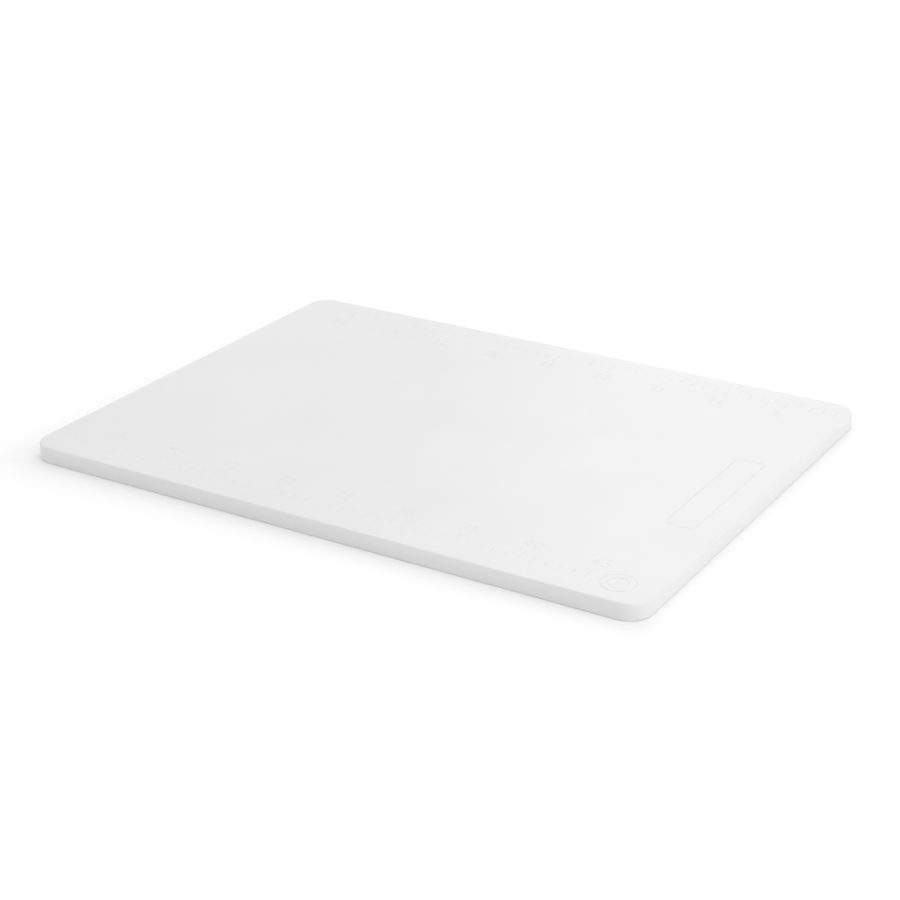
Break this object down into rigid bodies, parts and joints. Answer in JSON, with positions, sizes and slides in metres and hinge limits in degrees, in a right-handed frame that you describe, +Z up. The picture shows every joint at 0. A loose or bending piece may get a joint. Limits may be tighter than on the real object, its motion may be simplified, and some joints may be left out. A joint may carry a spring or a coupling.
{
  "type": "cutting board",
  "caption": "Flat white polyethylene cutting board with rounded corners and a centimetre ruler sunk into its top along both long edges.",
  "frame": {"origin": "centre of the underside, on the surface that the board lies on", "axes": "+Z up through the thickness, +X along the long edges towards the end with the ring mark and the label field, +Y across the board away from the ring mark's edge"},
  "size_m": [0.5, 0.38, 0.0127],
  "materials": {
    "hdpe": "satin white polyethylene"
  },
  "bodies": {
    "root": {"board": "hdpe"}
  },
  "joints": []
}
